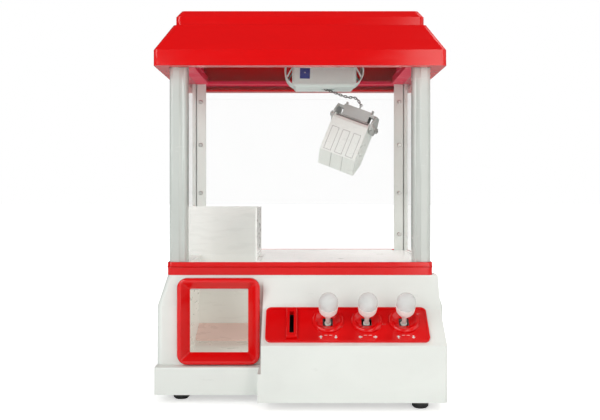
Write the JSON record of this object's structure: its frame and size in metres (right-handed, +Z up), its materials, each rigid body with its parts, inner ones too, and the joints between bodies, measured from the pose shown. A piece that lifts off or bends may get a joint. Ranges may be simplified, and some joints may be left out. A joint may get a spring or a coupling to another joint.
{
  "type": "claw crane machine",
  "caption": "Table-top toy claw crane: glazed cabinet with hipped roof, travelling crane with chain-hung clamshell claw, prize bay, control panel with sticks.",
  "frame": {"origin": "centre of the bounding box's bottom face, on the surface the feet stand on", "axes": "+Z up, -Y towards the player, +X to the player's right"},
  "size_m": [0.327, 0.298, 0.44],
  "materials": {
    "red_shell": "glossy moulded ABS",
    "red_inner": "moulded ABS",
    "white_shell": "satin moulded ABS",
    "white_inner": "matte moulded ABS",
    "column_grey": "smooth moulded plastic",
    "post_grey": "moulded plastic",
    "clear_pane": "clear sheet",
    "claw_grey": "satin moulded plastic",
    "claw_head_grey": "translucent grey plastic",
    "steel": "zinc plated",
    "chain_steel": "nickel plated wire",
    "black_rubber": "matte",
    "black_plastic": "matte",
    "knob_pearl": "clear ball on a frosted cup",
    "blue_label": "printed sticker",
    "board_green": "solder mask",
    "cell_wrap": "printed wrap",
    "brass_contact": "plated spring strip"
  },
  "bodies": {
    "cabinet": {"base_shell": "white_shell", "base_plate": "white_inner", "rubber_feet": "black_rubber", "case_screws": "steel", "base_band": "red_shell", "prize_bezel": "red_shell", "prize_tray": "white_inner", "chute_ramp": "white_inner", "prize_bed": "white_inner", "chute_guard": "white_inner", "control_panel": "red_shell", "coin_slot_block": "red_shell", "coin_channel": "white_inner", "coin_box": "white_inner", "underside_hatches": "white_inner", "stick_brackets": "black_plastic", "stick_pins": "steel", "stick_switches": "black_plastic", "battery_box": "black_plastic", "battery_cells": "cell_wrap", "battery_contacts": "brass_contact", "circuit_board": "board_green", "speaker": "black_plastic", "power_jack": "black_plastic", "power_switch_case": "black_plastic", "front_columns": "column_grey", "rear_posts": "post_grey", "front_window": "clear_pane", "side_windows": "clear_pane", "door_pins": "steel", "roof_shell": "red_shell", "roof_cap": "red_shell", "top_frame": "red_inner", "side_rails": "red_inner"},
    "bridge": {"bridge_frame": "red_inner", "bridge_rods": "steel", "bridge_motor": "steel"},
    "bridge_axle": {"bridge_axle": "steel"},
    "carriage": {"carriage_body": "white_shell", "carriage_tray": "white_shell", "carriage_brackets": "white_shell", "carriage_label": "blue_label", "carriage_motor": "steel", "hoist_motor": "steel"},
    "carriage_pinion": {"carriage_pinion": "white_inner"},
    "hoist_wheel": {"hoist_wheel": "white_inner"},
    "chain": {"hoist_chain": "chain_steel"},
    "claw": {"claw_head": "claw_head_grey", "claw_pins": "steel"},
    "jaw_front": {"jaw_front": "claw_grey"},
    "jaw_rear": {"jaw_rear": "claw_grey"},
    "rear_door": {"rear_door": "clear_pane", "door_knob": "white_inner"},
    "power_switch": {"power_switch_knob": "black_plastic"},
    "stick_1": {"stick_shaft_1": "white_inner", "stick_knob_1": "knob_pearl"},
    "stick_2": {"stick_shaft_2": "white_inner", "stick_knob_2": "knob_pearl"},
    "stick_3": {"stick_shaft_3": "white_inner", "stick_knob_3": "knob_pearl"}
  },
  "joints": [
    {"name": "bridge_travel", "type": "slide", "parent": "cabinet", "child": "bridge", "axis": [0, 1, 0], "range_m": [-0.038, 0.066]},
    {"name": "bridge_axle_spin", "type": "hinge", "parent": "bridge", "child": "bridge_axle", "pos_m": [0, 0.034, 0.40125], "axis": [1, 0, 0], "range_deg": [-545, 315]},
    {"name": "carriage_travel", "type": "slide", "parent": "bridge", "child": "carriage", "axis": [1, 0, 0], "range_m": [-0.104, 0.02]},
    {"name": "carriage_pinion_spin", "type": "hinge", "parent": "carriage", "child": "carriage_pinion", "pos_m": [0.01, -0.026, 0.413], "axis": [0, 1, 0], "range_deg": [-996, 195]},
    {"name": "hoist_travel", "type": "slide", "parent": "carriage", "child": "chain", "axis": [0, 0, -1], "range_m": [0, 0.062]},
    {"name": "hoist_wheel_spin", "type": "hinge", "parent": "carriage", "child": "hoist_wheel", "pos_m": [0.0405, 0.004, 0.3845], "axis": [0, 1, 0], "range_deg": [-446, 1]},
    {"name": "claw_swing", "type": "hinge", "parent": "chain", "child": "claw", "pos_m": [0.0758, 0.004, 0.3402], "axis": [0, 1, 0], "range_deg": [-42, 8]},
    {"name": "jaw_front_open", "type": "hinge", "parent": "claw", "child": "jaw_front", "pos_m": [0.06439, -0.00652, 0.32054], "axis": [-0.8867, 0.2924, 0.3582], "range_deg": [0, 36]},
    {"name": "jaw_rear_open", "type": "hinge", "parent": "claw", "child": "jaw_rear", "pos_m": [0.07035, 0.01452, 0.31813], "axis": [0.8867, -0.2924, -0.3582], "range_deg": [0, 36]},
    {"name": "rear_door_hinge", "type": "hinge", "parent": "cabinet", "child": "rear_door", "pos_m": [-0.138, 0.128, 0.2635], "axis": [0, 0, 1], "range_deg": [0, 100]},
    {"name": "power_switch_slide", "type": "slide", "parent": "cabinet", "child": "power_switch", "axis": [1, 0, 0], "range_m": [0, 0.006]},
    {"name": "stick_1_tilt", "type": "hinge", "parent": "cabinet", "child": "stick_1", "pos_m": [0.0303, -0.11399, 0.08338], "axis": [1, 0, 0], "range_deg": [-15, 15], "stiffness_Nm_per_rad": 0.25},
    {"name": "stick_2_tilt", "type": "hinge", "parent": "cabinet", "child": "stick_2", "pos_m": [0.0725, -0.11399, 0.08338], "axis": [0, 0.7846, 0.62], "range_deg": [-15, 15], "stiffness_Nm_per_rad": 0.25},
    {"name": "stick_3_tilt", "type": "hinge", "parent": "cabinet", "child": "stick_3", "pos_m": [0.1132, -0.11399, 0.08338], "axis": [1, 0, 0], "range_deg": [-15, 15], "stiffness_Nm_per_rad": 0.25}
  ],
  "couplings": [
    {"joint": "bridge_axle_spin", "follows": "bridge_travel", "rad_per_m": -142.86},
    {"joint": "carriage_pinion_spin", "follows": "carriage_travel", "rad_per_m": 166.67},
    {"joint": "hoist_wheel_spin", "follows": "hoist_travel", "rad_per_m": -125},
    {"joint": "jaw_rear_open", "follows": "jaw_front_open", "ratio": 1}
  ]
}
